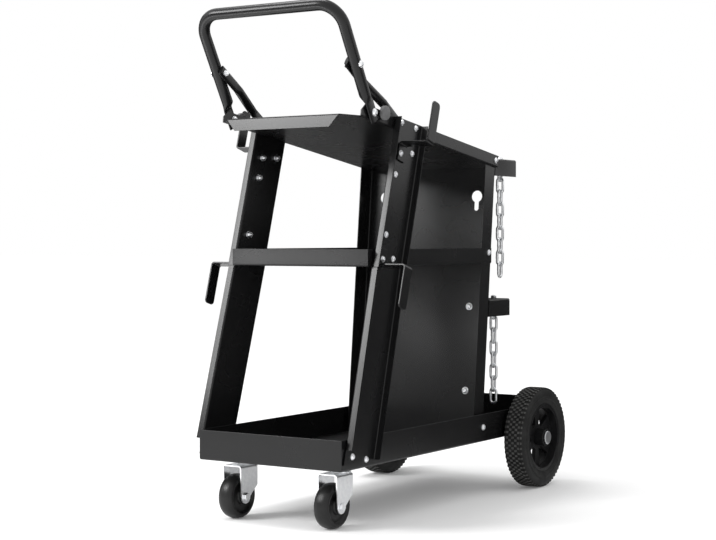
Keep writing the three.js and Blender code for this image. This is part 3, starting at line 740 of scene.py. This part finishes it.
WORLD_LIGHT = 0.87
WORLD_SEEN = 1.0
FLOOR_HALF = 30
FLOOR_GREY = 0.94
LIFT_FROM, LIFT_TO = 0.6, 2.4
LIFT_NEAR, LIFT_FAR = 0.09, 0.2


def seen_directly(nodes, links):
    """1 for rays from the camera, and for those seen in gloss or glass."""
    path = nodes.new("ShaderNodeLightPath")
    total = path.outputs["Is Camera Ray"]
    for name in ("Is Glossy Ray", "Is Transmission Ray"):
        add = nodes.new("ShaderNodeMath")
        add.operation = "MAXIMUM"
        links.new(total, add.inputs[0])
        links.new(path.outputs[name], add.inputs[1])
        total = add.outputs["Value"]
    return total


def world():
    """A white surround that lights the cart a little less than it shows."""
    made = bpy.data.worlds.new("studio")
    bpy.context.scene.world = made
    made.use_nodes = True
    nodes, links = made.node_tree.nodes, made.node_tree.links
    background = nodes["Background"]
    background.inputs["Color"].default_value = (1, 1, 1, 1)
    strength = nodes.new("ShaderNodeMapRange")
    strength.inputs["To Min"].default_value = WORLD_LIGHT
    strength.inputs["To Max"].default_value = WORLD_SEEN
    links.new(seen_directly(nodes, links), strength.inputs["Value"])
    links.new(strength.outputs["Result"], background.inputs["Strength"])


def matt(name, grey, roughness):
    """A matt grey stage material."""
    material = bpy.data.materials.new(name)
    material.use_nodes = True
    surface = material.node_tree.nodes["Principled BSDF"]
    surface.inputs["Base Color"].default_value = (grey, grey, grey, 1)
    surface.inputs["Roughness"].default_value = roughness
    surface.inputs["Specular IOR Level"].default_value = 0.0
    return material


def stage_mesh(name, builder, material):
    mesh = bpy.data.meshes.new(name)
    builder.to_mesh(mesh)
    builder.free()
    mesh.materials.append(material)
    piece = bpy.data.objects.new(name, mesh)
    bpy.context.scene.collection.objects.link(piece)
    return piece


def floor():
    """A pale floor that keeps the shadow and is lifted to white further out, where it is seen."""
    builder = bmesh.new()
    bmesh.ops.create_grid(builder, x_segments=1, y_segments=1, size=FLOOR_HALF)
    material = matt("floor_white", FLOOR_GREY, 0.9)
    nodes, links = material.node_tree.nodes, material.node_tree.links
    reach = nodes.new("ShaderNodeVectorMath")
    reach.operation = "LENGTH"
    links.new(nodes.new("ShaderNodeNewGeometry").outputs["Position"], reach.inputs[0])
    rise = nodes.new("ShaderNodeMapRange")
    rise.inputs["From Min"].default_value = LIFT_FROM
    rise.inputs["From Max"].default_value = LIFT_TO
    rise.inputs["To Min"].default_value = LIFT_NEAR
    rise.inputs["To Max"].default_value = LIFT_FAR
    links.new(reach.outputs["Value"], rise.inputs["Value"])
    lift = nodes.new("ShaderNodeMath")
    lift.operation = "MULTIPLY"
    links.new(seen_directly(nodes, links), lift.inputs[0])
    links.new(rise.outputs["Result"], lift.inputs[1])
    glow = nodes.new("ShaderNodeEmission")
    links.new(lift.outputs["Value"], glow.inputs["Strength"])
    both = nodes.new("ShaderNodeAddShader")
    links.new(nodes["Principled BSDF"].outputs["BSDF"], both.inputs[0])
    links.new(glow.outputs["Emission"], both.inputs[1])
    links.new(both.outputs["Shader"], nodes["Material Output"].inputs["Surface"])
    stage_mesh("floor", builder, material)


def only_in_gloss(name, builder, grey):
    """A matt grey stage piece that shows in shiny surfaces and nowhere else."""
    piece = stage_mesh(name, builder, matt(name + "_grey", grey, 1.0))
    piece.visible_camera = False
    piece.visible_diffuse = False
    piece.visible_shadow = False
    piece.visible_transmission = False


FLAG_GREY = 0.1
FLAG_ANGLES = range(-15, 201, 5)
FLAG_REACH = 1.3
FLAG_FOOT = 0.003
FLAG_LOW, FLAG_HIGH = 0.62, 1.35
FLAG_RISE_START, FLAG_RISE_END = 70, 100
SKIRT_REACH = 0.6
SKIRT_END = 140


def flag():
    """A dark studio flag that only shiny surfaces see: low on the right, high behind, with a skirt."""
    builder = bmesh.new()
    columns = []
    for angle in FLAG_ANGLES:
        turned = math.radians(angle)
        outward = Vector((math.cos(turned), math.sin(turned), 0))
        top = mix(FLAG_LOW, FLAG_HIGH, smooth(angle, FLAG_RISE_START, FLAG_RISE_END))
        column = [outward * FLAG_REACH + Z_AXIS * top, outward * FLAG_REACH + Z_AXIS * FLAG_FOOT]
        if angle <= SKIRT_END:
            column.append(outward * SKIRT_REACH + Z_AXIS * FLAG_FOOT)
        columns.append([builder.verts.new(point) for point in column])
    for here, there in zip(columns, columns[1:]):
        for k in range(min(len(here), len(there)) - 1):
            builder.faces.new((here[k], here[k + 1], there[k + 1], there[k]))
    only_in_gloss("flag", builder, FLAG_GREY)


CARD_GREY = 0.02
CARD_FOOT = Vector((-1.44, -1.98, 0))
CARD_ACROSS = Vector((0.81, -0.59, 0))
CARD_CORNERS = ((-0.7, 0.2), (0.6, 0.2), (0.6, 1.15), (0.0, 1.15))


def card():
    """A dark card ahead of the cart, on the left, which shades the shine of the panel."""
    builder = bmesh.new()
    for reach, height in CARD_CORNERS:
        builder.verts.new(CARD_FOOT + CARD_ACROSS * reach + Z_AXIS * height)
    builder.faces.new(builder.verts[:])
    only_in_gloss("card", builder, CARD_GREY)


def lamp(name, place, target, size, power):
    data = bpy.data.lights.new(name, "AREA")
    data.shape = "RECTANGLE"
    data.size, data.size_y = size
    data.energy = power
    light = bpy.data.objects.new(name, data)
    light.location = place
    light.rotation_euler = (Vector(target) - Vector(place)).to_track_quat("-Z", "Y").to_euler()
    bpy.context.scene.collection.objects.link(light)


IMAGE_WIDTH = 716
FOCAL_PIXELS = 1628.42
SENSOR_WIDTH = 36
CAMERA_PLACE = (1618.93, -2231.84, 490.28)
CAMERA_PITCH = math.radians(90 - 1.13)
CAMERA_YAW = math.radians(32.8)


def camera():
    """The camera that was fitted to the photograph."""
    data = bpy.data.cameras.new("camera")
    data.sensor_width = SENSOR_WIDTH
    data.lens = FOCAL_PIXELS / IMAGE_WIDTH * SENSOR_WIDTH
    made = bpy.data.objects.new("camera", data)
    made.location = draw(*CAMERA_PLACE)
    made.rotation_euler = (CAMERA_PITCH, 0, CAMERA_YAW)
    bpy.context.scene.collection.objects.link(made)
    bpy.context.scene.camera = made


world()
floor()
flag()
card()
lamp("key", place=(-1.35, -1.95, 1.58), target=(0, -0.1, 0.4), size=(0.9, 0.84), power=35)
lamp("shelf_strip", place=(-0.35, -0.80, 0.445), target=(0, -0.31, 0.455), size=(0.32, 0.06), power=0.5)
lamp("panel_strip", place=(-0.51, -0.73, 0.45), target=(0, 0.13, 0.3), size=(0.14, 0.2), power=0.18)
lamp("top", place=(-0.6, -0.3, 2.6), target=(0.1, 0.1, 0.2), size=(1.0, 1.0), power=24)
camera()
bpy.context.scene.view_settings.view_transform = "Standard"
